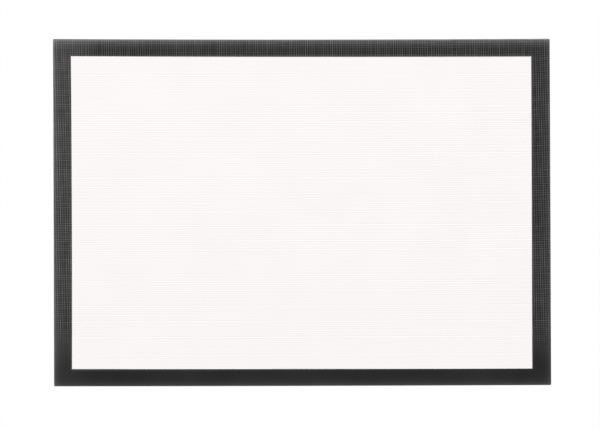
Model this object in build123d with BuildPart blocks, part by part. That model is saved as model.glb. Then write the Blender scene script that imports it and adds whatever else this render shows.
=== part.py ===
"""Silicone baking mat for a half-sheet baking tray, lying flat.

A mesh of glass-fibre yarns is bedded in two coats of pale silicone, which meet
halfway up. A charcoal silicone border is set flush into both faces and runs
round a pale panel. One die cuts the mat out, so every layer ends at the same
outline and the cut yarns show at the edge.

The length runs along X, the width along Y, and the face that the food lies on
looks up along +Z. The origin is the middle of the underside. Sizes are in
millimetres.
"""

import os
from math import floor

from build123d import *

# Outline of the mat
mat_length = 420.0
mat_width = 293.0
corner_radius = 0.8

# Border widths as seen from above. The back edge is the one towards +Y.
border_left = 15.0
border_right = 15.5
border_back = 14.1
border_front = 14.2
border_thickness = 0.1

# Glass-fibre mesh. The warp yarns run along X in the lower coat, and the weft yarns
# run along Y in the upper coat. An opening is the gap from one yarn to the next.
warp_width = 0.5
warp_thickness = 0.15
warp_opening = 1.4
weft_width = 0.5
weft_thickness = 0.15
weft_opening = 1.41

# Silicone under the warp, over it, under the weft and over it
skin_under_warp = 0.17
film_over_warp = 0.03
film_under_weft = 0.03
skin_over_weft = 0.17

# Levels, counted up from the underside
warp_level = skin_under_warp
coat_level = warp_level + warp_thickness + film_over_warp
weft_level = coat_level + film_under_weft
top_level = weft_level + weft_thickness + skin_over_weft

# As many yarns as run past the rounded corners, with the pattern in the middle of the mat
warp_pitch = warp_width + warp_opening
weft_pitch = weft_width + weft_opening
warp_count = floor((mat_width - 2 * corner_radius - warp_width) / warp_pitch) + 1
weft_count = floor((mat_length - 2 * corner_radius - weft_width) / weft_pitch) + 1

# Pale panel inside the border
panel_length = mat_length - border_left - border_right
panel_width = mat_width - border_front - border_back
panel_x = (border_left - border_right) / 2
panel_y = (border_front - border_back) / 2

on_base = (Align.CENTER, Align.CENTER, Align.MIN)

with BuildSketch() as mat_outline:
    RectangleRounded(mat_length, mat_width, corner_radius)

with BuildSketch() as border_frame:
    add(mat_outline.sketch)
    with Locations((panel_x, panel_y)):
        Rectangle(panel_length, panel_width, mode=Mode.SUBTRACT)

# Borders, flush with the underside and with the top
with BuildPart() as lower_border:
    with BuildSketch():
        add(border_frame.sketch)
    extrude(amount=border_thickness)

with BuildPart() as upper_border:
    with BuildSketch(Plane.XY.offset(top_level)):
        add(border_frame.sketch)
    extrude(amount=-border_thickness)

# Yarns of the mesh, each one a separate solid from cut edge to cut edge
with BuildPart() as warp_yarns:
    with Locations((0, 0, warp_level)), GridLocations(0, warp_pitch, 1, warp_count):
        Box(mat_length, warp_width, warp_thickness, align=on_base)

with BuildPart() as weft_yarns:
    with Locations((0, 0, weft_level)), GridLocations(weft_pitch, 0, weft_count, 1):
        Box(weft_width, mat_width, weft_thickness, align=on_base)

# Coats, moulded round the yarns, with a rebate for each border
with BuildPart() as lower_coat:
    with BuildSketch():
        add(mat_outline.sketch)
    extrude(amount=coat_level)
    add(warp_yarns.part, mode=Mode.SUBTRACT)
    add(lower_border.part, mode=Mode.SUBTRACT)

with BuildPart() as upper_coat:
    with BuildSketch(Plane.XY.offset(coat_level)):
        add(mat_outline.sketch)
    extrude(amount=top_level - coat_level)
    add(weft_yarns.part, mode=Mode.SUBTRACT)
    add(upper_border.part, mode=Mode.SUBTRACT)

lower_border.part.label = "lower_border"
lower_coat.part.label = "lower_coat"
warp_yarns.part.label = "warp_yarns"
weft_yarns.part.label = "weft_yarns"
upper_coat.part.label = "upper_coat"
upper_border.part.label = "upper_border"

os.makedirs("parts", exist_ok=True)
export_step(lower_border.part, "parts/lower_border.step")
export_step(lower_coat.part, "parts/lower_coat.step")
export_step(warp_yarns.part, "parts/warp_yarns.step")
export_step(weft_yarns.part, "parts/weft_yarns.step")
export_step(upper_coat.part, "parts/upper_coat.step")
export_step(upper_border.part, "parts/upper_border.step")
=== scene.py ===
"""Silicone baking mat lying flat on a pale floor, seen from straight above.

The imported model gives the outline, the levels of the layers and the yarns. The
pieces made here stand for its plain solids: two pale silicone coats that show the
glass-fibre mesh inside them, a charcoal border on each face, and the yarns, whose
cut ends show at the edge. Lengths are in metres. "Yarn numbers" are the weft number
and the warp number of each point, as the last axis of an array.
"""

import logging
import math
from collections.abc import Sequence
from dataclasses import asdict, dataclass, field
from enum import Enum
from typing import ClassVar

import bpy
import numpy as np
from bpy.types import Material, Node, NodeSocket, NodeTree, Object
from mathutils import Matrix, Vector
from numpy import ndarray as Array


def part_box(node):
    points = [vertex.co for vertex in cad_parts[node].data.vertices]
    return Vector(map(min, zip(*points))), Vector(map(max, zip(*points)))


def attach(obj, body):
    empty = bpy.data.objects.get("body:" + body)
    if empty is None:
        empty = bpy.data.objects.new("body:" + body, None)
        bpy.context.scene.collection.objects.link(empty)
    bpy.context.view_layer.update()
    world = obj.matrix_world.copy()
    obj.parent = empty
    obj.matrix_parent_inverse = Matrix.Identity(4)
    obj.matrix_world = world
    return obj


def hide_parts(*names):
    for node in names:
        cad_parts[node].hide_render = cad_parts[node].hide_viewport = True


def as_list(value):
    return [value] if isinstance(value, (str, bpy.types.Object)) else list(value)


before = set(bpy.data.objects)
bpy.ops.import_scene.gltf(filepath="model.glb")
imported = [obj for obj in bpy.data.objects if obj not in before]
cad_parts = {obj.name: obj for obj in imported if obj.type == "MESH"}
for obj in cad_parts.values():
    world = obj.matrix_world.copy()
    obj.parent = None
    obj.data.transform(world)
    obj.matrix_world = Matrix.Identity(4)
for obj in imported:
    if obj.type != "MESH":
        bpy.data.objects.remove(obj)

log = logging.getLogger("baking_mat")

Pair = tuple[Array, Array]
Hole = tuple[slice, slice]
Colour = tuple[float, ...]
Source = NodeSocket | float | Sequence[float]
Sockets = Sequence[NodeSocket]

MM = 0.001
BODY = "root"
WEAVE_MAP = "weave"
BAKE_MAP = "OFBake"
SAMPLES_PER_YARN = 3
NOISE_MIDDLE = 0.5


class Face(Enum):
    """The two faces of the mat, and the way each one looks along Z."""

    BAKING = 1
    UNDER = -1


class Way(Enum):
    """The axis that a yarn runs along."""

    ALONG_X = 0
    ALONG_Y = 1


@dataclass(frozen=True)
class YarnRow:
    """Yarns side by side, numbered from 0, with their small faults of spacing and height."""

    count: int
    pitch: float
    place_seed: int
    height_seed: int
    wander: float = 0.14 * MM
    slack: float = 0.3
    stations: int = 9
    spare: int = 4

    def numbers(self) -> Array:
        """Returns the yarns' numbers, with a few more beyond each end."""
        return np.arange(-self.spare, self.count + self.spare)

    def places(self) -> Array:
        """Works out where the yarns lie: evenly about the middle, each shifted by chance.

        Returns:
            One place for each of numbers().
        """
        even = (self.numbers() - (self.count - 1) / 2) * self.pitch
        chance = np.random.default_rng(self.place_seed)
        return even + chance.uniform(-self.wander, self.wander, len(even))

    def place_of(self, number: Array) -> Array:
        """Returns the place of a yarn number, whole or in between."""
        return np.interp(number, self.numbers(), self.places())

    def number_at(self, place: Array) -> Array:
        """Returns the yarn number, whole or in between, at a place."""
        return np.interp(place, self.places(), self.numbers())

    def fullness(self, number: Array, along: Array) -> Array:
        """Works out how far the nearest yarn stands up: 1, less a share by chance.

        The share is drawn for each yarn at stations along it, and changes evenly between.

        Args:
            number: the yarn number, whole or in between.
            along: the place along the yarn, from 0 at one end to 1 at the other.

        Returns:
            The share of the full height at each point.
        """
        chance = np.random.default_rng(self.height_seed)
        missing = self.slack * chance.random((self.count + 2 * self.spare, self.stations + 1))
        yarn = np.clip(np.rint(number).astype(int) + self.spare, 0, len(missing) - 1)
        station = np.clip(along, 0, 1) * (self.stations - 1)
        first = station.astype(int)
        share = station - first
        return 1 - missing[yarn, first] * (1 - share) - missing[yarn, first + 1] * share

    def samples(self, low: float, high: float, gap: float) -> Array:
        """Chooses the yarn numbers at which a surface is sampled, a few for each yarn.

        Args:
            low: the place where the surface starts.
            high: the place where it ends.
            gap: the least distance from either, in yarn numbers.

        Returns:
            Whole numbers and those in even steps between them, in rising order.
        """
        first, last = -self.spare, self.count + self.spare
        number = np.arange(SAMPLES_PER_YARN * first, SAMPLES_PER_YARN * last) / SAMPLES_PER_YARN
        place = self.place_of(number)
        return number[(place > low + gap * self.pitch) & (place < high - gap * self.pitch)]


@dataclass(frozen=True)
class GlassMesh:
    """The glass-fibre mesh, and how the silicone stands up over it.

    The mesh was cut a little out of square: a weft shifts along X by weft_lean for each
    metre of Y, and a warp shifts along Y by warp_lean for each metre of X.
    """

    warp: YarnRow = YarnRow(count=154, pitch=1.90 * MM, place_seed=11, height_seed=111)
    weft: YarnRow = YarnRow(count=219, pitch=1.91 * MM, place_seed=12, height_seed=112)
    weft_lean: float = -0.0184
    warp_lean: float = 0.0030
    sharpness: float = 2.0
    crimp: float = 0.3

    def numbers_at(self, x: Array, y: Array) -> Array:
        """Returns the yarn numbers at each point."""
        weft_number = self.weft.number_at(x - self.weft_lean * y)
        return np.stack([weft_number, self.warp.number_at(y - self.warp_lean * x)], axis=-1)

    def ridge(self, number: Array) -> Array:
        """Returns 1 over a yarn, 0 halfway to the next: a squared cosine raised to sharpness."""
        return np.cos(math.pi * number) ** (2 * self.sharpness)

    def ridges(self, numbers: Array) -> Pair:
        """Works out the ridges over the wefts and over the warps, each as full as its yarn is.

        Args:
            numbers: the yarn numbers.

        Returns:
            The weft ridges and the warp ridges, from 0 to 1.
        """
        across, up = numbers[..., 0], numbers[..., 1]
        return (
            self.ridge(across) * self.weft.fullness(across, up / self.warp.count),
            self.ridge(up) * self.warp.fullness(up, across / self.weft.count),
        )

    def relief(self, numbers: Array) -> Array:
        """Works out the height over the mesh as a share of its depth.

        Each yarn is a ridge, and the two sets add up to 1 where they cross. A yarn rises
        where it passes over and sinks where it passes under, by turns, which is the product
        of two cosines of half the pitch.

        Args:
            numbers: the yarn numbers.

        Returns:
            The share, from 0 in the middle of an opening to 1 over a crossing.
        """
        over = self.crimp * np.prod(np.cos(math.pi * numbers), axis=-1)
        weft, warp = self.ridges(numbers)
        return ((1 + over) * warp + (1 - over) * weft) / 2


@dataclass(frozen=True)
class Waver:
    """How far an edge strays from its straight line: at its start, its middle and its end."""

    start: float
    middle: float
    end: float

    def at(self, place: Array) -> Array:
        """Returns the parabola through the offsets, for places from -1 to 1 along the edge."""
        bend = (self.start + self.end) / 2 - self.middle
        return self.middle + (self.end - self.start) / 2 * place + bend * place**2


@dataclass(frozen=True)
class Frame:
    """The wavering of the four edges of the cut or of the print. Plus is right or back."""

    left: Waver
    right: Waver
    back: Waver
    front: Waver

    def shift(self, across: Array, along: Array) -> Pair:
        """Works out how points move with the edges, whose shares fade evenly to the far side.

        Args:
            across: places along X, from -1 at the left edge to 1 at the right.
            along: places along Y, from -1 at the front edge to 1 at the back.

        Returns:
            The shifts along X and along Y.
        """
        right_share, back_share = (1 + across) / 2, (1 + along) / 2
        return (
            self.left.at(along) * (1 - right_share) + self.right.at(along) * right_share,
            self.front.at(across) * (1 - back_share) + self.back.at(across) * back_share,
        )


@dataclass(frozen=True)
class Lie:
    """How the cut mat lies: its corners, and the small wavering of its cut and of its print."""

    half_length: float
    half_width: float
    corner_radius: float = 0.8 * MM
    cut: Frame = Frame(
        left=Waver(-0.04 * MM, -0.08 * MM, -0.28 * MM),
        right=Waver(0.41 * MM, 0.16 * MM, -0.14 * MM),
        back=Waver(0.62 * MM, -0.20 * MM, 0.20 * MM),
        front=Waver(0.29 * MM, -0.09 * MM, -0.05 * MM),
    )
    print_frame: Frame = Frame(
        left=Waver(0.07 * MM, 0.28 * MM, -0.29 * MM),
        right=Waver(-0.10 * MM, -0.13 * MM, -0.39 * MM),
        back=Waver(0.30 * MM, -0.69 * MM, -0.67 * MM),
        front=Waver(0.64 * MM, 0.02 * MM, -0.17 * MM),
    )
    print_reach: float = 14.0 * MM

    def edge_distance(self, x: Array, y: Array) -> Array:
        """Returns how far inside the cut edge a point of the flat mat is."""
        return np.minimum(self.half_length - np.abs(x), self.half_width - np.abs(y))

    def rounded(self, x: Array, y: Array) -> Pair:
        """Draws the square at each corner in to a quarter disc.

        A point keeps its direction from the disc's centre, and its distance becomes the
        larger of its two offsets from it.

        Args:
            x, y: places on the flat mat.

        Returns:
            The new x and y.
        """
        inner_x = self.half_length - self.corner_radius
        inner_y = self.half_width - self.corner_radius
        past_x, past_y = np.maximum(np.abs(x) - inner_x, 0), np.maximum(np.abs(y) - inner_y, 0)
        reach = np.hypot(past_x, past_y)
        farther = np.maximum(past_x, past_y)
        share = np.divide(farther, reach, out=np.ones_like(reach), where=reach > 0)
        return (
            np.sign(x) * (np.minimum(np.abs(x), inner_x) + past_x * share),
            np.sign(y) * (np.minimum(np.abs(y), inner_y) + past_y * share),
        )

    def settled(self, x: Array, y: Array) -> Pair:
        """Moves points of the flat mat to where they lie.

        At the cut edge they move with the cut, and from print_reach inwards with the
        print. Between the two the move changes evenly.

        Args:
            x, y: places on the flat mat.

        Returns:
            The new x and y.
        """
        across, along = x / self.half_length, y / self.half_width
        inside = np.clip(self.edge_distance(x, y) / self.print_reach, 0, 1)
        cut_x, cut_y = self.cut.shift(across, along)
        print_x, print_y = self.print_frame.shift(across, along)
        return (
            x + cut_x * (1 - inside) + print_x * inside,
            y + cut_y * (1 - inside) + print_y * inside,
        )


def rim(grid: Array) -> Array:
    """Reads the outline of a grid, once round against the clock seen from above.

    Args:
        grid: an array whose first axis runs along Y and whose second runs along X.

    Returns:
        The outline's entries, each once.
    """
    return np.concatenate([grid[0, :-1], grid[:-1, -1], grid[-1, :0:-1], grid[:0:-1, 0]])


def after(loop: Array) -> Array:
    """Returns the entry that follows each entry of a closed loop."""
    return np.roll(loop, -1, axis=0)


def cells(grid: Array) -> list[Array]:
    """Returns the four corners of a grid's cells, against the clock seen from above."""
    return [grid[:-1, :-1], grid[:-1, 1:], grid[1:, 1:], grid[1:, :-1]]


def trimmed(hole: Hole, first: int, last: int) -> Hole:
    """Returns a hole's rows and columns without the first few and the last few of each."""
    return tuple(slice(part.start + first, part.stop - last) for part in hole)


@dataclass(frozen=True)
class Layers:
    """Sizes that the coats and the borders share."""

    border_left: float = 15.0 * MM
    border_right: float = 15.5 * MM
    border_back: float = 14.1 * MM
    border_front: float = 14.2 * MM
    relief_depth: float = 0.11 * MM
    print_step: float = 0.06 * MM
    border_floor: float = 0.145 * MM
    edge_drop: float = 0.05 * MM
    edge_reach: float = 2.2 * MM
    edge_round: float = 0.25 * MM
    round_drop: float = 0.02 * MM
    wall_inset: float = 0.05 * MM
    line_gap: float = 0.2
    sharp_angle: float = math.radians(50)
    fade_from: float = -102.0 * MM
    fade_to: float = -120.0 * MM
    fade_lean: float = 0.0243

    def faded(self, x: Array, y: Array) -> Array:
        """Returns 0 where the mesh shows and 1 along the front, where the silicone buries it."""
        past = y + self.fade_lean * x - self.fade_from
        return np.clip(past / (self.fade_to - self.fade_from), 0, 1)

    def roll(self, distance: Array) -> Array:
        """Works out how far a face sinks towards the cut edge.

        It dies away over edge_reach as an exponential, and over the last edge_round it
        rounds off as a square.

        Args:
            distance: how far inside the cut edge a point is.

        Returns:
            The drop at each point.
        """
        last = np.clip(1 - distance / self.edge_round, 0, 1)
        return self.edge_drop * np.exp(-distance / self.edge_reach) + self.round_drop * last**2


class Unfold(Enum):
    """How a group of faces is unfolded into a band."""

    FLAT = "as seen from above"
    RING = "along the ring round the panel, with its width across"
    WALL = "along that ring, with its height across"


@dataclass(frozen=True)
class BakeArea:
    """A level stretch of the bake's map, filled by a band of faces cut into rows."""

    unfold: Unfold
    low: float
    high: float
    rows: int = 1
    margin: float = 0.01
    row_gap: float = 0.06

    def filled(self, along: Array, across: Array) -> Array:
        """Lays out the band.

        Args:
            along: the share of the way along the band, for each face and each of its corners.
            across: the share of the way across it.

        Returns:
            The places on the map, with u and v last.
        """
        place = along * self.rows
        row = np.clip(np.floor(place.mean(axis=1, keepdims=True)), 0, self.rows - 1)
        u = self.margin + (1 - 2 * self.margin) * (place - row)
        v = (row + self.row_gap + (1 - 2 * self.row_gap) * across) / self.rows
        return np.stack([u, self.low + (self.high - self.low) * v], axis=-1)


class Bake(Enum):
    """The areas of the bake's map. What can be seen has most of it, so that it holds the mesh."""

    PANEL = BakeArea(Unfold.FLAT, 0.05, 1.0, row_gap=0.004)
    RING = BakeArea(Unfold.RING, 0.05, 1.0, rows=9)
    WALL = BakeArea(Unfold.WALL, 0.025, 0.05)
    FLAT_FLOOR = BakeArea(Unfold.FLAT, 0.0, 0.025)
    RING_FLOOR = BakeArea(Unfold.RING, 0.0, 0.025)


@dataclass(frozen=True)
class Sheet:
    """What every layer of the mat is made from: its mesh, its lie, its sizes and its levels."""

    mesh: GlassMesh
    lie: Lie
    layers: Layers
    level: float
    top: float

    def height(self, above_middle: Array, face: Face) -> Array:
        """Returns Z for a height counted from the level where the coats meet, on either face."""
        scale = (self.top - self.level) if face is Face.BAKING else self.level
        return self.level + face.value * above_middle * scale / (self.top - self.level)

    def panel(self) -> tuple[tuple[float, float], tuple[float, float]]:
        """Works out where the panel lies inside the borders.

        Returns:
            Where it starts and ends along X, and where along Y.
        """
        layers, lie = self.layers, self.lie
        return (
            (layers.border_left - lie.half_length, lie.half_length - layers.border_right),
            (layers.border_front - lie.half_width, lie.half_width - layers.border_back),
        )

    def placed(self, x: Array, y: Array, z: Array) -> Array:
        """Rounds the corners, lets the mat settle and joins the coordinates into points."""
        settled_x, settled_y = self.lie.settled(*self.lie.rounded(x, y))
        return np.stack([settled_x, settled_y, z], axis=-1)

    def unfolded(self, points: Array, unfold: Unfold) -> Pair:
        """Unfolds faces into a band.

        The ring's sides are laid end to end: the back, the front, the left and the right.

        Args:
            points: the corners of each face, as faces, corners, then x, y and z.
            unfold: how they are unfolded.

        Returns:
            For each corner the share of the way along the band and across it.
        """
        x, y, z = np.moveaxis(points, -1, 0)
        from_left, from_front = self.lie.half_length + x, self.lie.half_width + y
        length, width = 2 * self.lie.half_length, 2 * self.lie.half_width
        if unfold is Unfold.FLAT:
            return from_left / length, from_front / width
        low, high = self.panel()[1]
        side = high - low
        middle = points.mean(axis=1, keepdims=True)
        sides = [middle[..., 1] > high, middle[..., 1] < low, middle[..., 0] < 0]
        starts = [from_left, from_left + length, y - low + 2 * length]
        along = np.select(sides, starts, y - low + 2 * length + side) / (2 * (length + side))
        if unfold is Unfold.WALL:
            return along, (z - z.min()) / np.ptp(z)
        inwards = [
            (width - from_front) / self.layers.border_back,
            from_front / self.layers.border_front,
            from_left / self.layers.border_left,
        ]
        return along, np.select(sides, inwards, (length - from_left) / self.layers.border_right)

    def row_places(self, fixed: Sequence[float], sampled: Sequence[tuple[float, float]]) -> Array:
        """Chooses where the rows of a surface lie along Y.

        Args:
            fixed: places with a row of their own, in rising order.
            sampled: the stretches where every warp is sampled, each between two fixed places.

        Returns:
            The places in rising order.
        """
        warp, gap = self.mesh.warp, self.layers.line_gap
        free = [warp.place_of(warp.samples(low, high, gap)) for low, high in sampled]
        return np.sort(np.concatenate([fixed, *free]))

    def leaned(self, rows: Array, columns: Array, fixed: Sequence[float]) -> Array:
        """Leans the rows with the warps, and holds them straight at the fixed places.

        Args:
            rows: places along Y.
            columns: places along X.
            fixed: places along Y that stay straight. The lean is full one pitch from them.

        Returns:
            Y for each row and column.
        """
        near = np.abs(rows[:, None] - np.asarray(fixed)).min(axis=1)
        free = np.clip(near / self.mesh.warp.pitch, 0, 1)
        return rows[:, None] + self.mesh.warp_lean * columns[None, :] * free[:, None]


def new_object(name: str, data: bpy.types.ID) -> Object:
    """Puts data into an object of its own and links it to the scene.

    Args:
        name: the object's name.
        data: its mesh, lamp or camera.

    Returns:
        The object, at the origin.
    """
    made = bpy.data.objects.new(name, data)
    bpy.context.scene.collection.objects.link(made)
    return made


@dataclass
class Shell:
    """A closed surface in the making: points, yarn numbers, faces and where those are baked."""

    sheet: Sheet
    points: list[Array] = field(default_factory=list)
    numbers: list[Array] = field(default_factory=list)
    faces: list[Array] = field(default_factory=list)
    areas: list[Bake | None] = field(default_factory=list)
    size: int = 0

    def add_points(self, points: Array, numbers: Array) -> Array:
        """Adds points with their yarn numbers.

        Args:
            points: places, with x, y and z last.
            numbers: their yarn numbers.

        Returns:
            The points' indices, in the same leading shape.
        """
        shape = points.shape[:-1]
        first, self.size = self.size, self.size + math.prod(shape)
        self.points.append(points.reshape(-1, 3))
        self.numbers.append(numbers.reshape(-1, 2))
        return np.arange(first, self.size).reshape(shape)

    def add_faces(self, area: Bake | None, *corners: Array) -> None:
        """Adds faces to be baked in an area, from an array of indices for each corner in order."""
        self.faces.append(np.stack([c.ravel() for c in corners], axis=1))
        self.areas.append(area)

    def add_wall(self, low: Array, high: Array) -> None:
        """Adds the wall between two closed loops. It faces outwards where low lies underneath."""
        self.add_faces(Bake.WALL, low, after(low), after(high), high)

    def bake_places(self, faces: Sequence[Array]) -> Array:
        """Works out where the faces lie on the bake's map.

        Args:
            faces: the faces of each group, as indices of their corners.

        Returns:
            A place for each corner of each face, with u and v last.
        """
        points = np.concatenate(self.points)
        areas = [area.value for area in self.areas]
        bands = [self.sheet.unfolded(points[f], area.unfold) for f, area in zip(faces, areas)]
        filled = [area.filled(*band).reshape(-1, 2) for area, band in zip(areas, bands)]
        return np.concatenate(filled)

    def build(self, name: str, face: Face) -> Object:
        """Puts the surface into a mesh object at the origin.

        A shell is made looking up. For the underside its faces are turned round, since
        its heights are mirrored.

        Args:
            name: the object's name.
            face: the face of the mat that it belongs to.

        Returns:
            The object, linked to the scene.
        """
        order = slice(None) if face is Face.BAKING else slice(None, None, -1)
        faces = [f[:, order] for f in self.faces]
        loops = np.concatenate([f.ravel() for f in faces]).astype(np.int32)
        totals = np.concatenate([np.full(len(f), f.shape[1]) for f in self.faces])
        starts = np.concatenate([[0], np.cumsum(totals)[:-1]]).astype(np.int32)
        mesh = bpy.data.meshes.new(name)
        mesh.vertices.add(self.size)
        mesh.vertices.foreach_set("co", np.concatenate(self.points).astype(np.float32).ravel())
        mesh.loops.add(len(loops))
        mesh.loops.foreach_set("vertex_index", loops)
        mesh.polygons.add(len(starts))
        mesh.polygons.foreach_set("loop_start", starts)
        mesh.polygons.foreach_set("use_smooth", np.ones(len(starts), bool))
        mesh.update(calc_edges=True)
        maps = {WEAVE_MAP: np.concatenate(self.numbers)[loops]}
        if all(self.areas):
            maps[BAKE_MAP] = self.bake_places(faces)
        for label, places in maps.items():
            layer = mesh.uv_layers.new(name=label)
            layer.data.foreach_set("uv", places.astype(np.float32).ravel())
        mesh.validate()
        mesh.set_sharp_from_angle(angle=self.sheet.layers.sharp_angle)
        return new_object(name, mesh)


@dataclass(frozen=True)
class Piece:
    """A piece of the mat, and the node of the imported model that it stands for."""

    sheet: Sheet
    face: Face
    name: str
    node: str
    slot: ClassVar[str]

    def finished(self, shell: Shell, material: Material) -> Object:
        """Turns a shell into the piece, dresses it and enters it in the frame.

        Args:
            shell: the piece's surface.
            material: its material.

        Returns:
            The piece's object.
        """
        piece = shell.build(self.name, self.face)
        piece.data.materials.append(material)
        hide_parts(self.node)
        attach(piece, BODY)
        return piece


@dataclass(frozen=True)
class Coat(Piece):
    """One pale silicone coat, from the level where the coats meet to the panel's face."""

    slot: ClassVar[str] = "pale_silicone"
    lip: float = 0.05 * MM
    columns: int = 72
    side_columns: int = 2

    def edges(self, half: float, panel: tuple[float, float]) -> list[float]:
        """Returns the places of the cut edge, its rounding, the lip and the panel, in order."""
        low, high, inside = *panel, half - self.sheet.layers.edge_round
        return [-half, -inside, low - self.lip, low, high, high + self.lip, inside, half]

    def places(self) -> Pair:
        """Works out the points' flat places.

        Across Y every warp is sampled, because the ridges along X are real relief. Across X
        the surface only has to follow the wavering of the edges.

        Returns:
            X and Y for each row and column.
        """
        sheet = self.sheet
        panel_x, panel_y = sheet.panel()
        even = np.linspace(*panel_x, self.columns)[1:-1]
        columns = np.sort(np.concatenate([self.edges(sheet.lie.half_length, panel_x), even]))
        fixed = self.edges(sheet.lie.half_width, panel_y)
        rows = sheet.row_places(fixed, [panel_y])
        x = np.broadcast_to(columns, (len(rows), len(columns)))
        return x, sheet.leaned(rows, columns, fixed)

    def surface(self, x: Array, y: Array, numbers: Array) -> Array:
        """Works out the coat's outer face, as a height over the level where the coats meet.

        On the panel it follows the ridges of the warps. Past the print's edge it steps down
        under the border and falls evenly to the cut edge.

        Args:
            x, y: places on the flat mat.
            numbers: the yarn numbers.

        Returns:
            The height at each point.
        """
        sheet, layers = self.sheet, self.sheet.layers
        top = sheet.top - sheet.level
        panel = top - layers.print_step - layers.relief_depth * (1 - sheet.mesh.ridges(numbers)[1])
        (low_x, high_x), (low_y, high_y) = sheet.panel()
        past = np.maximum.reduce([low_x - x, x - high_x, low_y - y, y - high_y])
        fall = layers.edge_drop * np.clip(past / layers.border_back, 0, 1)
        return np.where(past > self.lip / 2, top - layers.border_floor - fall, panel)

    def build(self, material: Material) -> Object:
        """Makes the coat: its outer face, its cut edge and the flat face that meets the other.

        Args:
            material: the coat's material.

        Returns:
            The coat's object.
        """
        sheet, shell = self.sheet, Shell(self.sheet)
        x, y = self.places()
        numbers = sheet.mesh.numbers_at(x, y)
        shrink = 1 - sheet.layers.wall_inset / sheet.lie.half_width
        outer = sheet.placed(x, y, sheet.height(self.surface(x, y, numbers), self.face))
        inner = sheet.placed(x, y, np.full(x.shape, sheet.level))
        outer[..., :2] *= shrink
        inner[..., :2] *= shrink
        top = shell.add_points(outer, numbers)
        below = shell.add_points(rim(inner), rim(numbers))
        shell.add_faces(Bake.PANEL, *cells(top))
        shell.add_wall(below, rim(top))
        rows, columns = np.indices(x.shape)
        foot = np.full(x.shape, -1)
        foot[rim(rows), rim(columns)] = below
        self.add_flat_face(shell, foot)
        return self.finished(shell, material)

    def add_flat_face(self, shell: Shell, foot: Array) -> None:
        """Closes the coat where it meets the other one, without relief.

        Strips run from the front edge to the back edge. Beside the panel one face on each
        side takes in the whole side edge.

        Args:
            shell: the surface in the making.
            foot: indices of the points round the outline, in a grid of rows and columns.
        """
        front, back, left, right = foot[0], foot[-1], foot[:, 0], foot[:, -1]
        beside = self.side_columns
        middle, following = slice(beside, -beside - 1), slice(beside + 1, -beside)
        strips = [front[middle], back[middle], back[following], front[following]]
        left_side = [front[beside:0:-1], left, back[1 : beside + 1]]
        right_side = [back[-beside - 1 : -1], right[::-1], front[-2 : -beside - 2 : -1]]
        shell.add_faces(Bake.FLAT_FLOOR, *strips)
        for side in (left_side, right_side):
            shell.add_faces(Bake.FLAT_FLOOR, *np.concatenate(side)[:, None])


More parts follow.
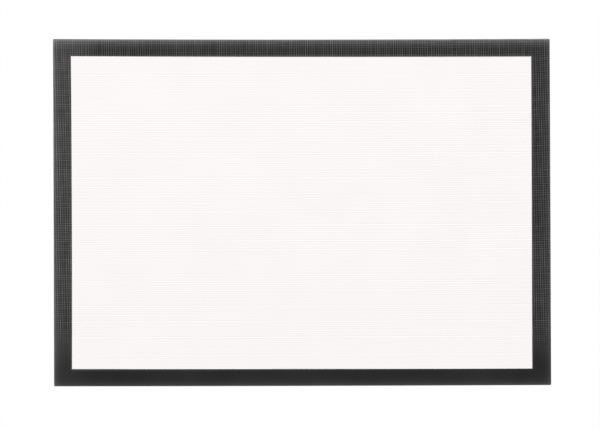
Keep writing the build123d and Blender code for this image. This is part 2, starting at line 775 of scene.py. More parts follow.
@dataclass(frozen=True)
class Border(Piece):
    """One charcoal silicone border, with the relief of the mesh in both directions."""

    slot: ClassVar[str] = "charcoal_silicone"
    creep: float = 0.14 * MM
    side_lines: int = 5
    faded_level: float = 0.75

    def places(self) -> tuple[Array, Array, Hole]:
        """Works out the points' flat places.

        Behind and in front of the panel the columns follow the wefts. The wefts lean across
        the two sides, so there the columns are straight and closer. The rows follow the warps.

        Returns:
            X and Y for each row and column, and the rows and columns of the panel with its edges.
        """
        sheet, layers, weft = self.sheet, self.sheet.layers, self.sheet.mesh.weft
        (start, stop), (low, high) = sheet.panel()
        outside, inside = sheet.lie.half_width, sheet.lie.half_width - layers.edge_round
        fixed = [-outside, -inside, low, high, inside, outside]
        rows = sheet.row_places(fixed, [(-inside, low), (low, high), (high, inside)])
        panel_rows = slice(np.searchsorted(rows, low), np.searchsorted(rows, high) + 1)

        outside, inside = sheet.lie.half_length, sheet.lie.half_length - layers.edge_round
        numbers = weft.samples(start, stop, layers.line_gap)
        count = round(self.side_lines * layers.border_left / weft.pitch)
        left, right = np.linspace(-inside, start, count), np.linspace(stop, inside, count)
        columns = np.concatenate([[-outside], left, weft.place_of(numbers), right, [outside]])
        panel_columns = slice(len(left), len(left) + len(numbers) + 2)
        middle = slice(panel_columns.start + 1, panel_columns.stop - 1)

        y = sheet.leaned(rows, columns, fixed)
        x = np.tile(columns, (len(rows), 1))
        lean = sheet.mesh.weft_lean * (sheet.lie.half_width - layers.border_back / 2) / weft.pitch
        passed = np.sign(rows)[:, None] * np.rint(SAMPLES_PER_YARN * lean) / SAMPLES_PER_YARN
        x[:, middle] = weft.place_of(numbers - passed) + sheet.mesh.weft_lean * y[:, middle]
        return x, y, (panel_rows, panel_columns)

    def surface(self, x: Array, y: Array, numbers: Array) -> Array:
        """Works out the border's face, as a height over the level where the coats meet.

        The relief of the mesh hangs down from the top level, fades out along the front,
        and the whole face sinks towards the cut edge.

        Args:
            x, y: places on the flat mat.
            numbers: the yarn numbers.

        Returns:
            The height at each point.
        """
        sheet, layers = self.sheet, self.sheet.layers
        faded = layers.faded(x, y)
        share = sheet.mesh.relief(numbers) * (1 - faded) + self.faded_level * faded
        drop = layers.roll(sheet.lie.edge_distance(x, y))
        return sheet.top - sheet.level - layers.relief_depth * (1 - share) - drop

    def creep_in(self, face: Array, numbers: Array, hole: Hole) -> None:
        """Makes the print's edge creep in over each yarn that shows, and not between yarns.

        Args:
            face: the face's points, which are moved.
            numbers: the yarn numbers.
            hole: the rows and the columns of the panel, its edges included.
        """
        inner, waves = face[hole], np.cos(math.pi * numbers[hole]) ** 2
        shown = 1 - self.sheet.layers.faded(inner[..., 0], inner[..., 1])
        creep = self.creep * shown[..., None] * waves
        for end, sign in ((0, 1), (-1, -1)):
            inner[end, 1:-1, 1] += sign * creep[end, 1:-1, 0]
            inner[1:-1, end, 0] += sign * creep[1:-1, end, 1]

    def build(self, material: Material) -> Object:
        """Makes the border: its face, its walls and the floor that lies on the coat.

        The face is the grid of rows and columns without the panel's cells.

        Args:
            material: the border's material.

        Returns:
            The border's object.
        """
        sheet, layers, shell = self.sheet, self.sheet.layers, Shell(self.sheet)
        x, y, hole = self.places()
        numbers = sheet.mesh.numbers_at(x, y)
        face = sheet.placed(x, y, sheet.height(self.surface(x, y, numbers), self.face))
        self.creep_in(face, numbers, hole)
        used, filled = np.ones(x.shape, bool), np.ones((len(x) - 1, x.shape[1] - 1), bool)
        used[trimmed(hole, 1, 1)] = False
        filled[trimmed(hole, 0, 1)] = False
        index = np.full(x.shape, -1)
        index[used] = shell.add_points(face[used], numbers[used])
        shell.add_faces(Bake.RING, *[corner[filled] for corner in cells(index)])
        floor = sheet.top - sheet.level - layers.border_floor
        outside, inside = rim(face), rim(face[hole])
        outside[:, 2] = sheet.height(floor - layers.edge_drop, self.face)
        inside[:, 2] = sheet.height(floor, self.face)
        cut_foot = shell.add_points(outside, rim(numbers))
        print_foot = shell.add_points(inside, rim(numbers[hole]))
        shell.add_wall(cut_foot, rim(index))
        shell.add_wall(rim(index[hole]), print_foot)
        self.add_floor(shell, cut_foot, print_foot, x.shape, hole)
        return self.finished(shell, material)

    def add_floor(
        self, shell: Shell, cut_foot: Array, print_foot: Array, shape: tuple[int, int], hole: Hole
    ) -> None:
        """Closes the border underneath.

        Each point of the cut edge is joined to the nearest point of the print's edge, so
        the faces fan out at a corner.

        Args:
            shell: the surface in the making.
            cut_foot: indices round the foot of the cut edge.
            print_foot: indices round the foot of the print's edge.
            shape: the number of rows and columns.
            hole: the rows and the columns of the panel, its edges included.
        """
        every, lookup = np.indices(shape), np.full(shape, -1)
        rows, columns = every[:, hole[0], hole[1]]
        lookup[rim(rows), rim(columns)] = print_foot
        rows, columns = (
            np.clip(rim(places), part.start, part.stop - 1) for places, part in zip(every, hole)
        )
        nearest = lookup[rows, columns]
        fan = nearest == after(nearest)
        here, there = cut_foot, after(cut_foot)
        straight = [here, nearest, after(nearest), there]
        shell.add_faces(Bake.RING_FLOOR, here[fan], nearest[fan], there[fan])
        shell.add_faces(Bake.RING_FLOOR, *[corner[~fan] for corner in straight])


@dataclass(frozen=True)
class Yarns(Piece):
    """The yarns of one direction: flat bundles of glass fibre, cut off at the edge."""

    way: Way
    slot: ClassVar[str] = "glass_fibre"
    width: float = 0.52 * MM
    thickness: float = 0.10 * MM
    over_under: float = 0.015 * MM
    side_gap: float = 0.4 * MM
    shortest: float = 5.0 * MM
    spare: int = 2
    sides: int = 10
    stations: int = 15

    def lean(self) -> float:
        """Returns how far a yarn shifts sideways for each metre along it."""
        mesh = self.sheet.mesh
        return mesh.warp_lean if self.way is Way.ALONG_X else mesh.weft_lean

    def runs(self) -> tuple[Array, Array, Array]:
        """Works out where each yarn runs.

        A yarn goes from cut edge to cut edge. One that leans out over a side stops
        side_gap short of it.

        Returns:
            For each yarn its place in the middle of the mat, its start and its end.
        """
        lie, mesh, lean = self.sheet.lie, self.sheet.mesh, self.lean()
        if self.way is Way.ALONG_X:
            row, length, side = mesh.warp, lie.half_length, lie.half_width
        else:
            row, length, side = mesh.weft, lie.half_width, lie.half_length
        place = row.place_of(np.arange(-self.spare, row.count + self.spare))
        limit = side - self.side_gap
        ends = np.sort(np.stack([(-limit - place) / lean, (limit - place) / lean]), axis=0)
        start, stop = np.maximum(ends[0], -length), np.minimum(ends[1], length)
        kept = stop - start > self.shortest
        return place[kept], start[kept], stop[kept]

    def build(self, material: Material) -> Object:
        """Makes all the yarns of the row as one mesh.

        A yarn is an ellipse carried along its line. Every other yarn lies a little higher,
        as it leaves the edge over or under the yarn that crosses it there.

        Args:
            material: the yarns' material.

        Returns:
            The yarns' object.
        """
        sheet, shell = self.sheet, Shell(self.sheet)
        low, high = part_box(self.node)
        place, start, stop = (values[:, None, None] for values in self.runs())
        by_turns = self.over_under * (1 - 2 * (np.arange(len(place))[:, None, None] % 2))
        share = np.linspace(0, 1, self.stations)[None, :, None]
        turn = (2 * math.pi * np.arange(self.sides) / self.sides)[None, None, :]
        along = start + (stop - start) * share + 0 * turn
        across = place + self.lean() * along + self.width / 2 * np.cos(turn)
        z = float((low[2] + high[2]) / 2) + by_turns + self.thickness / 2 * np.sin(turn)
        x, y = (along, across) if self.way is Way.ALONG_X else (across, along)
        points = np.stack([*sheet.lie.settled(x, y), z + 0 * along], axis=-1)
        index = shell.add_points(points, np.stack([along / self.width, turn + 0 * along], axis=-1))
        around = np.roll(index, -1, axis=2)
        sides = [index[:, :-1], around[:, :-1], around[:, 1:], index[:, 1:]]
        ends = [index[:, 0, ::-1], index[:, -1, :]]
        if self.way is Way.ALONG_Y:
            sides, ends = sides[::-1], [end[:, ::-1] for end in ends]
        shell.add_faces(None, *sides)
        for end in ends:
            shell.add_faces(None, *end.T)
        return self.finished(shell, material)


class Wiring:
    """Adds nodes to one node tree and joins them."""

    def __init__(self, tree: NodeTree) -> None:
        """Keeps the tree to work on."""
        self.tree = tree

    def feed(self, sockets: Sockets, sources: dict[int | str, Source]) -> None:
        """Joins sources to sockets. A plain value is set on the socket itself.

        Args:
            sockets: the inputs of a node.
            sources: what feeds them, by the input's name or number.
        """
        for key, source in sources.items():
            if isinstance(source, NodeSocket):
                self.tree.links.new(source, sockets[key])
            else:
                sockets[key].default_value = source

    def node(
        self, kind: str, sources: dict[int | str, Source] | None = None, **settings: object
    ) -> Node:
        """Adds a node.

        Args:
            kind: the node's type.
            sources: what feeds its inputs, by the input's name or number.
            settings: its properties.

        Returns:
            The node.
        """
        made = self.tree.nodes.new(kind)
        for key, value in settings.items():
            setattr(made, key, value)
        self.feed(made.inputs, sources or {})
        return made

    def math(self, operation: str, *sources: Source, clamp: bool = False) -> NodeSocket:
        """Adds a Math node on sockets or numbers and returns its output."""
        settings = {"operation": operation, "use_clamp": clamp}
        return self.node("ShaderNodeMath", dict(enumerate(sources)), **settings).outputs[0]

    def blend(self, share: Source, low: Source, high: Source) -> NodeSocket:
        """Adds a Mix node for numbers and returns low at share 0 and high at share 1."""
        sources = {0: share, 2: low, 3: high}
        return self.node("ShaderNodeMix", sources, data_type="FLOAT").outputs[0]

    def tint(self, share: Source, low: Source, high: Source) -> NodeSocket:
        """Adds a Mix node for colours and returns low at share 0 and high at share 1."""
        sources = {0: share, 6: low, 7: high}
        return self.node("ShaderNodeMix", sources, data_type="RGBA").outputs[2]

    def ramp(self, source: Source, low: float, high: float) -> NodeSocket:
        """Adds an even rise from 0 at low to 1 at high, level beyond both."""
        return self.math("DIVIDE", self.math("SUBTRACT", source, low), high - low, clamp=True)

    def fall(self, past: Source, reach: Source) -> NodeSocket:
        """Adds a value of 1, which dies away over reach as an exponential where past is below 0."""
        return self.math("EXPONENT", self.math("DIVIDE", self.math("MINIMUM", past, 0.0), reach))

    def parts(self, vector: Source) -> Sockets:
        """Takes a vector apart into X, Y and Z."""
        return self.node("ShaderNodeSeparateXYZ", {0: vector}).outputs

    def bump(self, height: Source, distance: float) -> NodeSocket:
        """Adds a Bump node and returns its normal."""
        return self.node("ShaderNodeBump", {"Height": height, "Distance": distance}).outputs[0]

    def noise(self, place: Source, scale: Source, detail: float) -> NodeSocket:
        """Adds noise about NOISE_MIDDLE at a place."""
        sources = {"Vector": place, "Scale": scale, "Detail": detail}
        return self.node("ShaderNodeTexNoise", sources).outputs[0]

    def group(self, tree: NodeTree, sources: dict[int | str, Source]) -> Sockets:
        """Adds a node group and returns its outputs."""
        return self.node("ShaderNodeGroup", sources, node_tree=tree).outputs


class Group(Wiring):
    """A shader node group in the making. Its inputs are one vector and some numbers."""

    def __init__(self, name: str, vector: str, numbers: list[str], outputs: list[str]) -> None:
        """Starts the group.

        Args:
            name: the group's name.
            vector: the name of the vector input.
            numbers: the names of the inputs that are numbers.
            outputs: the names of the outputs, all of them numbers.
        """
        super().__init__(bpy.data.node_groups.new(name, "ShaderNodeTree"))
        sockets = [(vector, "INPUT", "NodeSocketVector")]
        sockets += [(label, "INPUT", "NodeSocketFloat") for label in numbers]
        sockets += [(label, "OUTPUT", "NodeSocketFloat") for label in outputs]
        for label, side, kind in sockets:
            self.tree.interface.new_socket(label, in_out=side, socket_type=kind)
        self.given = self.node("NodeGroupInput").outputs
        self.made = self.node("NodeGroupOutput").inputs


class Finish(Wiring):
    """A node material in the making, with the place on the object and the yarn numbers."""

    def __init__(self, name: str) -> None:
        """Starts the material.

        Args:
            name: the material's name.
        """
        self.material = bpy.data.materials.new(name)
        self.material.use_nodes = True
        super().__init__(self.material.node_tree)
        self.shader = self.tree.nodes["Principled BSDF"].inputs
        self.place = self.node("ShaderNodeTexCoord").outputs["Object"]
        self.numbers = self.node("ShaderNodeUVMap", uv_map=WEAVE_MAP).outputs[0]


@dataclass(frozen=True)
class YarnLook:
    """How the yarns show through a silicone. WovenRelief says what each number does."""

    sharpness: float
    plain: float
    unevenness: float
    rarity: float
    patches: float
    patch_rate: float

    def inputs(self) -> dict[str, float]:
        """Returns the numbers by the names of the group's inputs."""
        return {key.replace("_", " ").title(): value for key, value in asdict(self).items()}


@dataclass(frozen=True)
class WovenRelief:
    """The group that finds the yarns from their numbers.

    Warp and Weft are 1 over a yarn and 0 halfway to the next, as the square of a cosine
    raised to Sharpness. A weaker yarn fades to Plain. Unevenness is how far the yarns
    differ in strength. It rises over three or four yarns and falls back, with a little
    chance, and the higher Rarity is, the fewer of them are strong. Patches is how far the
    strength changes along each yarn, and a patch is about 1 / Patch Rate yarns long.
    """

    weft_offset: float = 0.5
    patch_step: float = 3.7
    patch_low: float = 0.25
    patch_high: float = 0.75
    rise: float = 0.2807
    chance: float = 0.3

    def build(self) -> NodeTree:
        """Makes the group.

        Returns:
            The group.
        """
        labels = ["Sharpness", "Plain", "Unevenness", "Rarity", "Patches", "Patch Rate"]
        group = Group("woven relief", "Numbers", labels, ["Warp", "Weft"])
        given, calc = group.given, group.math
        numbers = group.parts(given["Numbers"])
        for axis, label, offset in ((1, "Warp", 0.0), (0, "Weft", self.weft_offset)):
            wave = calc("COSINE", calc("MULTIPLY", numbers[axis], math.pi))
            ridge = calc("POWER", calc("MULTIPLY", wave, wave), given["Sharpness"])
            yarn = calc("ADD", calc("ROUND", numbers[axis]), offset)
            along = calc("MULTIPLY", numbers[1 - axis], given["Patch Rate"])
            across = calc("MULTIPLY", yarn, self.patch_step)
            place = group.node("ShaderNodeCombineXYZ", {0: along, 1: across}).outputs[0]
            patch = group.ramp(group.noise(place, 1.0, 0.0), self.patch_low, self.patch_high)
            own = group.node("ShaderNodeTexWhiteNoise", {"W": yarn}, noise_dimensions="1D")
            shift = calc("MULTIPLY", own.outputs["Value"], self.chance)
            turn = calc("FRACT", calc("MULTIPLY_ADD", yarn, self.rise, shift))
            weaker = calc("SUBTRACT", 1.0, calc("POWER", turn, given["Rarity"]))
            weaker = calc("MULTIPLY", weaker, given["Unevenness"])
            weaker = calc("MULTIPLY_ADD", patch, given["Patches"], weaker)
            strength = calc("SUBTRACT", 1.0, weaker, clamp=True)
            group.feed(group.made, {label: group.blend(strength, given["Plain"], ridge)})
        return group.tree


@dataclass(frozen=True)
class CuredSkin:
    """The group for the skin of knife-coated silicone.

    Mottle is a slow change of shade, Grain is the fine unevenness of the skin, and Wipe
    is a streak that runs the way the coating knife went, along X.
    """

    mottle_detail: float = 2.0
    grain_detail: float = 3.0
    wipe_detail: float = 4.0
    wipe_stretch: tuple[float, ...] = (0.06, 1.0, 1.0)

    def build(self) -> NodeTree:
        """Makes the group.

        Returns:
            The group.
        """
        scales = ["Mottle Scale", "Grain Scale"]
        group = Group("cured skin", "Place", scales, ["Mottle", "Grain", "Wipe"])
        place, (mottle, grain) = group.given["Place"], (group.given[label] for label in scales)
        sources = {0: place, 1: self.wipe_stretch}
        drawn = group.node("ShaderNodeVectorMath", sources, operation="MULTIPLY").outputs[0]
        noises = {
            "Mottle": group.noise(place, mottle, self.mottle_detail),
            "Grain": group.noise(place, grain, self.grain_detail),
            "Wipe": group.noise(drawn, mottle, self.wipe_detail),
        }
        group.feed(group.made, noises)
        return group.tree


def cut_edge(lie: Lie, sides: Sequence[float]) -> NodeTree:
    """Makes the group that knows how near the cut edge a place is.

    Rim adds up the four edges. Each has its own strength at the cut, and dies away inwards
    over Reach as an exponential.

    Args:
        lie: the mat's outline.
        sides: the strength of the left, right, front and back edges, which sets the painted
            highlight on each.

    Returns:
        The group.
    """
    group = Group("cut edge", "Place", ["Reach"], ["Rim"])
    x, y, _ = group.parts(group.given["Place"])
    ways = [(x, -1.0), (x, 1.0), (y, -1.0), (y, 1.0)]
    halves = [lie.half_length] * 2 + [lie.half_width] * 2
    total = 0.0
    for (axis, sign), half, strength in zip(ways, halves, sides):
        past = group.math("MULTIPLY_ADD", axis, sign, -half)
        near = group.fall(past, group.given["Reach"])
        total = group.math("MULTIPLY_ADD", near, strength, total)
    group.feed(group.made, {"Rim": group.math("MINIMUM", total, 1.0)})
    return group.tree


def print_edge(sheet: Sheet) -> NodeTree:
    """Makes the group that knows how near the print's edge a place on the border is.

    Rim is 1 at the edge and dies away outwards over Reach as an exponential.

    Args:
        sheet: the mat, which says where the panel is.

    Returns:
        The group.
    """
    group = Group("print edge", "Place", ["Reach"], ["Rim"])
    inside = []
    for axis, (low, high) in zip(group.parts(group.given["Place"]), sheet.panel()):
        off_middle = group.math("ABSOLUTE", group.math("SUBTRACT", axis, (low + high) / 2))
        inside.append(group.math("SUBTRACT", (high - low) / 2, off_middle))
    nearest = group.math("MINIMUM", *inside)
    group.feed(group.made, {"Rim": group.fall(nearest, group.given["Reach"])})
    return group.tree


@dataclass(frozen=True)
class Effects:
    """The node groups that the materials share."""

    weave: NodeTree
    skin: NodeTree
    cut: NodeTree
    printed: NodeTree


@dataclass(frozen=True, kw_only=True)
class Silicone:
    """What both silicones share: the yarns under them, their gloss and the faults of the skin."""

    name: str
    look: YarnLook
    mottle_scale: float
    roughness_low: float
    roughness_high: float
    wipe: float
    grain_share: float
    grain_scale: float = 2600.0
    bump_depth: float = 0.03 * MM
    ior: float = 1.41
    specular: float = 0.25

    def coloured(self, finish: "SiliconeFinish") -> tuple[NodeSocket, NodeSocket, Source]:
        """Returns the colour, how strongly the yarns show, and the height left to the bump."""
        raise NotImplementedError

    def material(self, effects: Effects) -> Material:
        """Makes the material. It is glossiest over the yarns.

        Args:
            effects: the shared groups.

        Returns:
            The material.
        """
        finish = SiliconeFinish(self, effects)
        skin = finish.skin
        colour, lines, relief = self.coloured(finish)
        gloss = finish.blend(lines, self.roughness_high, self.roughness_low)
        wipe = finish.math("MULTIPLY_ADD", skin["Wipe"], self.wipe, -self.wipe * NOISE_MIDDLE)
        height = finish.blend(self.grain_share, relief, skin["Grain"])
        looks = {
            "Base Color": colour,
            "Roughness": finish.math("ADD", gloss, wipe),
            "Normal": finish.bump(height, self.bump_depth),
            "IOR": self.ior,
            "Specular IOR Level": self.specular,
        }
        finish.feed(finish.shader, looks)
        return finish.material


class SiliconeFinish(Finish):
    """A silicone in the making, with the yarns that show and the faults of its skin."""

    def __init__(self, silicone: Silicone, effects: Effects) -> None:
        """Starts the material.

        Args:
            silicone: says how its yarns and its skin look.
            effects: the shared groups.
        """
        super().__init__(silicone.name)
        self.effects = effects
        scales = {"Mottle Scale": silicone.mottle_scale, "Grain Scale": silicone.grain_scale}
        self.yarns = self.group(effects.weave, {"Numbers": self.numbers, **silicone.look.inputs()})
        self.skin = self.group(effects.skin, {"Place": self.place, **scales})


@dataclass(frozen=True, kw_only=True)
class PaleSilicone(Silicone):
    """The panel's milky silicone, over which the mesh shows as faint lines."""

    name: str = "pale silicone"
    look: YarnLook = YarnLook(
        sharpness=0.5, plain=0.637, unevenness=0.95, rarity=1.6, patches=0.4, patch_rate=0.1
    )
    mottle_scale: float = 18.0
    roughness_low: float = 0.34
    roughness_high: float = 0.50
    wipe: float = 0.08
    grain_share: float = 0.06
    # Lines over the warps: partly the yarns showing through, partly painted shading of their ridges
    # by the lamp behind.
    opening: Colour = (0.730, 0.696, 0.690, 1.0)
    yarn: Colour = (0.998, 0.964, 0.960, 1.0)
    weft_share: float = 0.06
    mottle_share: float = 0.14

    def coloured(self, finish: SiliconeFinish) -> tuple[NodeSocket, NodeSocket, Source]:
        """Works out the panel's colours: paler over the yarns, and faintly mottled.

        Args:
            finish: the material in the making.

        Returns:
            The colour, how strongly the yarns show, and the height over the wefts.
        """
        warp, weft = finish.yarns["Warp"], finish.yarns["Weft"]
        # Painted shading: the warp lines stand in part for ridges lit and shaded by the lamp
        # behind, so the wefts barely show.
        lines = finish.blend(self.weft_share, warp, weft)
        shade = finish.blend(self.mottle_share, lines, finish.skin["Mottle"])
        relief = finish.math("MULTIPLY", weft, self.weft_share)
        return finish.tint(shade, self.opening, self.yarn), lines, relief


@dataclass(frozen=True)
class Shade:
    """Two greys of dark silicone: in an opening and over a yarn, or in dark and pale patches."""

    dark: float
    pale: float

    def mixed(self, wiring: Wiring, share: NodeSocket) -> NodeSocket:
        """Returns the colour, dark at share 0 and pale at share 1."""
        greys = [(grey, grey, grey, 1.0) for grey in (self.dark, self.pale)]
        return wiring.tint(share, *greys)


@dataclass(frozen=True, kw_only=True)
class CharcoalSilicone(Silicone):
    """The border's dark silicone: lighter over the yarns, with painted light, highlights and shade.
    """

    sheet: Sheet
    name: str = "charcoal silicone"
    look: YarnLook = YarnLook(
        sharpness=6.0, plain=0.0, unevenness=0.2, rarity=1.0, patches=0.55, patch_rate=0.12
    )
    mottle_scale: float = 25.0
    roughness_low: float = 0.32
    roughness_high: float = 0.55
    wipe: float = 0.10
    grain_share: float = 0.08
    # Over the yarns the border is paler: partly the glass showing through, partly painted glints of
    # the lamp on the ridges.
    plain: Shade = Shade(0.0005, 0.121)
    # Painted shade along the front, where the border no longer catches the lamp's reflection;
    # mottled.
    buried: Shade = Shade(0.0, 0.0145)
    # Painted light: a paler copy of the plain shade on the left border, strongest at the back.
    worn: Shade = Shade(0.0205, 0.174)
    # The pale rim: a painted highlight along the cut edge, palest at its lip, and a thin pale band
    # along the print's edge.
    rim: Shade = Shade(0.1350, 0.360)
    buried_from: float = -20.0 * MM
    buried_to: float = -130.0 * MM
    buried_power: float = 8.0
    faded_lines: float = 0.21
    rim_reach: float = 2.3 * MM
    # Painted highlight strength of the left, right, front and back edges: most at the back and the
    # left, which face the lamp.
    rim_sides: tuple[float, ...] = (0.43, 0.21, 0.31, 0.82)
    lip_reach: float = 0.6 * MM
    lip_share: float = 0.5
    warp_share: float = 0.82
    faint_warp_share: float = 0.45
    faint_from: float = 142.0 * MM
    faint_to: float = 137.5 * MM
    faint_start: float = 131.0 * MM
    print_reach: float = 0.65 * MM
    print_share: float = 0.29
    # Where the painted light on the left starts and is full, and its strength at the front and at
    # the back.
    worn_from: float = -172.0 * MM
    worn_to: float = -192.0 * MM
    worn_ends: tuple[float, float] = (0.30, 0.96)

    def lines(self, finish: SiliconeFinish, buried: NodeSocket) -> NodeSocket:
        """Works out how strongly the yarns show.

        The warps are fainter just behind the panel, and towards the front all of them
        fade to an even level and then vanish under the painted shade along the front.

        Args:
            finish: the material in the making.
            buried: 1 where the painted shade along the front hides the mesh.

        Returns:
            1 over a yarn, 0 in an opening.
        """
        calc, layers, yarns = finish.math, self.sheet.layers, finish.yarns
        x, y, _ = finish.parts(finish.place)
        behind = finish.ramp(y, self.faint_from, self.faint_to)
        faint = calc("MINIMUM", behind, finish.ramp(y, self.faint_start, self.faint_to))
        warp_share = finish.blend(faint, self.warp_share, self.faint_warp_share)
        lines = calc("MAXIMUM", calc("MULTIPLY", yarns["Warp"], warp_share), yarns["Weft"])
        leaned = calc("MULTIPLY_ADD", x, layers.fade_lean, y)
        faded = finish.ramp(leaned, layers.fade_from, layers.fade_to)
        lines = finish.blend(faded, lines, self.faded_lines)
        return calc("MULTIPLY", lines, calc("SUBTRACT", 1.0, buried))

    def coloured(self, finish: SiliconeFinish) -> tuple[NodeSocket, NodeSocket, Source]:
        """Works out the border's colours.

        The plain shade passes into painted shade towards the front and into painted light on the
        left, most of all at the back. A painted highlight runs along the cut edge, palest at
        its lip, and a thin pale rim runs along the print's edge.

        Args:
            finish: the material in the making.

        Returns:
            The colour, how strongly the yarns show, and no height, as the relief is real.
        """
        calc, half_width = finish.math, self.sheet.lie.half_width
        mottle, effects = finish.skin["Mottle"], finish.effects
        x, y, _ = finish.parts(finish.place)
        # Painted shade: towards the front the border darkens and its yarns no longer show.
        buried = calc("POWER", finish.ramp(y, self.buried_from, self.buried_to), self.buried_power)
        lines = self.lines(finish, buried)
        front = self.buried.mixed(finish, mottle)
        colour = finish.tint(buried, self.plain.mixed(finish, lines), front)
        # Painted light: the left border grows paler, in patches and most of all at the back,
        # towards the lamp.
        patchy = calc("ADD", mottle, 1 - NOISE_MIDDLE)
        worn = calc("MULTIPLY", finish.ramp(x, self.worn_from, self.worn_to), patchy)
        back = finish.blend(finish.ramp(y, -half_width, half_width), *self.worn_ends)
        worn = calc("MULTIPLY", worn, back)
        colour = finish.tint(worn, colour, self.worn.mixed(finish, lines))
        near_cut, at_cut, near_print = (
            finish.group(edge, {"Place": finish.place, "Reach": reach})["Rim"]
            for edge, reach in (
                (effects.cut, self.rim_reach),
                (effects.cut, self.lip_reach),
                (effects.printed, self.print_reach),
            )
        )
        # Painted highlight along the cut edge, strongest where the edge faces the lamp, and a thin
        # pale band along the print's edge.
        pale = calc("MULTIPLY_ADD", at_cut, self.lip_share, near_cut)
        pale = calc("MAXIMUM", pale, calc("MULTIPLY", near_print, self.print_share))
        return finish.tint(pale, colour, self.rim.mixed(finish, lines)), lines, 0.0


@dataclass(frozen=True)
class GlassFibre:
    """The yarns' glass fibre, bundles of bright filaments."""

    light: Colour = (0.82, 0.81, 0.78, 1.0)
    dark: Colour = (0.48, 0.47, 0.44, 1.0)
    roughness_dark: float = 0.55
    roughness_light: float = 0.35
    filament_scale: float = 60000.0
    filament_detail: float = 1.0
    bump_depth: float = 0.01 * MM
    ior: float = 1.52

    def material(self) -> Material:
        """Makes the material: filaments as fine noise across the cut ends.

        Returns:
            The material.
        """
        finish = Finish("glass fibre")
        filaments = finish.noise(finish.place, self.filament_scale, self.filament_detail)
        looks = {
            "Base Color": finish.tint(filaments, self.dark, self.light),
            "Roughness": finish.blend(filaments, self.roughness_dark, self.roughness_light),
            "Normal": finish.bump(filaments, self.bump_depth),
            "IOR": self.ior,
        }
        finish.feed(finish.shader, looks)
        return finish.material


@dataclass(frozen=True)
class SoftBox:
    """A large soft lamp, turned towards the middle of the mat."""

    name: str
    place: tuple[float, float, float]
    width: float
    depth: float
    radiance: float

    def build(self) -> None:
        """Hangs the lamp. Its power is its radiance times its area and pi, as if even and flat."""
        light = bpy.data.lights.new(self.name, "AREA")
        light.shape = "RECTANGLE"
        light.size, light.size_y = self.width, self.depth
        light.energy = self.radiance * math.pi * self.width * self.depth
        lamp = new_object(self.name, light)
        lamp.location = self.place
        lamp.rotation_euler = (-Vector(self.place)).to_track_quat("-Z", "Y").to_euler()


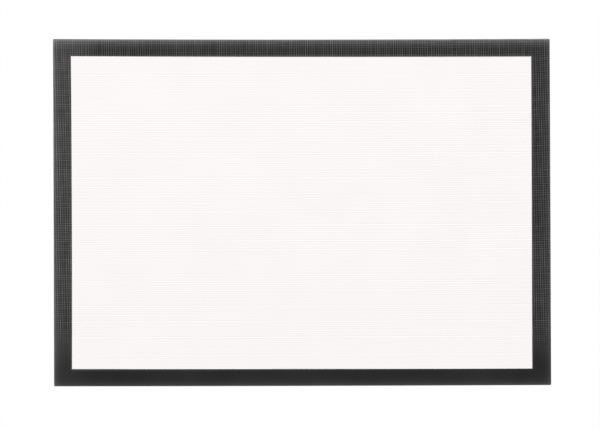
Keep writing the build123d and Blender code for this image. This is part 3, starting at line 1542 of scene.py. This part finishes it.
@dataclass(frozen=True)
class Studio:
    """The pale floor, the lamp and the camera."""

    half_length: float
    floor_size: float = 12.0
    floor_colour: Colour = (0.93, 0.93, 0.93, 1.0)
    room_colour: Colour = (1.0, 1.0, 1.0, 1.0)
    white_share: float = 0.88
    room_light: float = 0.675
    back_light: SoftBox = SoftBox("back softbox", (-1.44, 6.4, 6.7), 9.3, 5.8, 3.48)
    camera_height: float = 2.4
    camera_lean: float = 0.016
    camera_roll: float = math.radians(-0.14)
    sensor: float = 36.0
    picture_width_px: float = 600.0
    picture_height_px: float = 428.0
    mat_length_px: float = 496.6
    mat_centre_px: tuple[float, float] = (302.33, 212.7)

    def shown(self, wiring: Wiring) -> NodeSocket:
        """Finds what the camera sees, straight on, by reflection or through glass.

        Args:
            wiring: the wiring of a material or of the world.

        Returns:
            A socket that is 1 there and 0 elsewhere.
        """
        path = wiring.node("ShaderNodeLightPath").outputs
        seen = wiring.math("ADD", path["Is Camera Ray"], path["Is Glossy Ray"])
        return wiring.math("ADD", seen, path["Is Transmission Ray"], clamp=True)

    def build_floor(self) -> None:
        """Lays the floor: pale, nearly white to the camera, and still taking the mat's shadow."""
        half = self.floor_size / 2
        corners = [(-half, -half, 0), (half, -half, 0), (half, half, 0), (-half, half, 0)]
        mesh = bpy.data.meshes.new("floor")
        mesh.from_pydata(corners, [], [(0, 1, 2, 3)])
        material = bpy.data.materials.new("pale floor")
        material.use_nodes = True
        material.node_tree.nodes.clear()
        wiring = Wiring(material.node_tree)
        share = wiring.math("MULTIPLY", self.shown(wiring), self.white_share)
        plain = wiring.node("ShaderNodeBsdfDiffuse", {"Color": self.floor_colour}).outputs[0]
        white = wiring.node("ShaderNodeEmission").outputs[0]
        mix = wiring.node("ShaderNodeMixShader", {0: share, 1: plain, 2: white})
        wiring.node("ShaderNodeOutputMaterial", {0: mix.outputs[0]})
        mesh.materials.append(material)
        new_object("floor", mesh)

    def build_world(self) -> None:
        """Fills the room with even light, and shows as white."""
        world = bpy.data.worlds.new("room")
        world.use_nodes = True
        bpy.context.scene.world = world
        wiring = Wiring(world.node_tree)
        strength = wiring.blend(self.shown(wiring), self.room_light, 1.0)
        background = world.node_tree.nodes["Background"].inputs
        wiring.feed(background, {"Color": self.room_colour, "Strength": strength})

    def build_camera(self) -> None:
        """Sets the camera nearly straight above, with a long lens, framed as in the photograph."""
        metre_per_px = 2 * self.half_length / self.mat_length_px
        lens = bpy.data.cameras.new("camera")
        lens.sensor_width = self.sensor
        lens.lens = self.sensor * self.camera_height / (metre_per_px * self.picture_width_px)
        camera = new_object("camera", lens)
        aim_x = (self.picture_width_px / 2 - self.mat_centre_px[0]) * metre_per_px
        aim_y = (self.mat_centre_px[1] - self.picture_height_px / 2) * metre_per_px
        back_off = self.camera_height * math.tan(self.camera_lean)
        camera.location = (aim_x - back_off, aim_y, self.camera_height)
        camera.rotation_euler = (0.0, -self.camera_lean, self.camera_roll)
        bpy.context.scene.camera = camera

    def build(self) -> None:
        """Makes the whole studio."""
        self.build_floor()
        self.build_world()
        self.back_light.build()
        self.build_camera()
        bpy.context.scene.view_settings.view_transform = "Standard"


def main() -> None:
    """Builds the mat and the studio."""
    logging.basicConfig(level=logging.INFO, format="%(message)s")
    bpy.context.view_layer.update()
    low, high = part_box("upper_coat")
    lie = Lie(half_length=float(high[0]), half_width=float(high[1]))
    sheet = Sheet(GlassMesh(), lie, Layers(), level=float(low[2]), top=float(high[2]))

    dark = CharcoalSilicone(sheet=sheet)
    cut = cut_edge(lie, dark.rim_sides)
    effects = Effects(WovenRelief().build(), CuredSkin().build(), cut, print_edge(sheet))
    pale, charcoal = PaleSilicone().material(effects), dark.material(effects)
    glass = GlassFibre().material()
    plan = [
        (Coat(sheet, Face.BAKING, "baking_panel", "upper_coat"), pale),
        (Coat(sheet, Face.UNDER, "under_panel", "lower_coat"), pale),
        (Border(sheet, Face.BAKING, "baking_face_border", "upper_border"), charcoal),
        (Border(sheet, Face.UNDER, "underside_border", "lower_border"), charcoal),
        (Yarns(sheet, Face.BAKING, "warp_bundles", "warp_yarns", Way.ALONG_X), glass),
        (Yarns(sheet, Face.BAKING, "weft_bundles", "weft_yarns", Way.ALONG_Y), glass),
    ]
    pieces = [piece.build(material) for piece, material in plan]
    for piece in pieces:
        log.info("%s: %d faces", piece.name, len(piece.data.polygons))

    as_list(pieces[1:])
    Studio(half_length=lie.half_length).build()


if __name__ == "__main__":
    main()
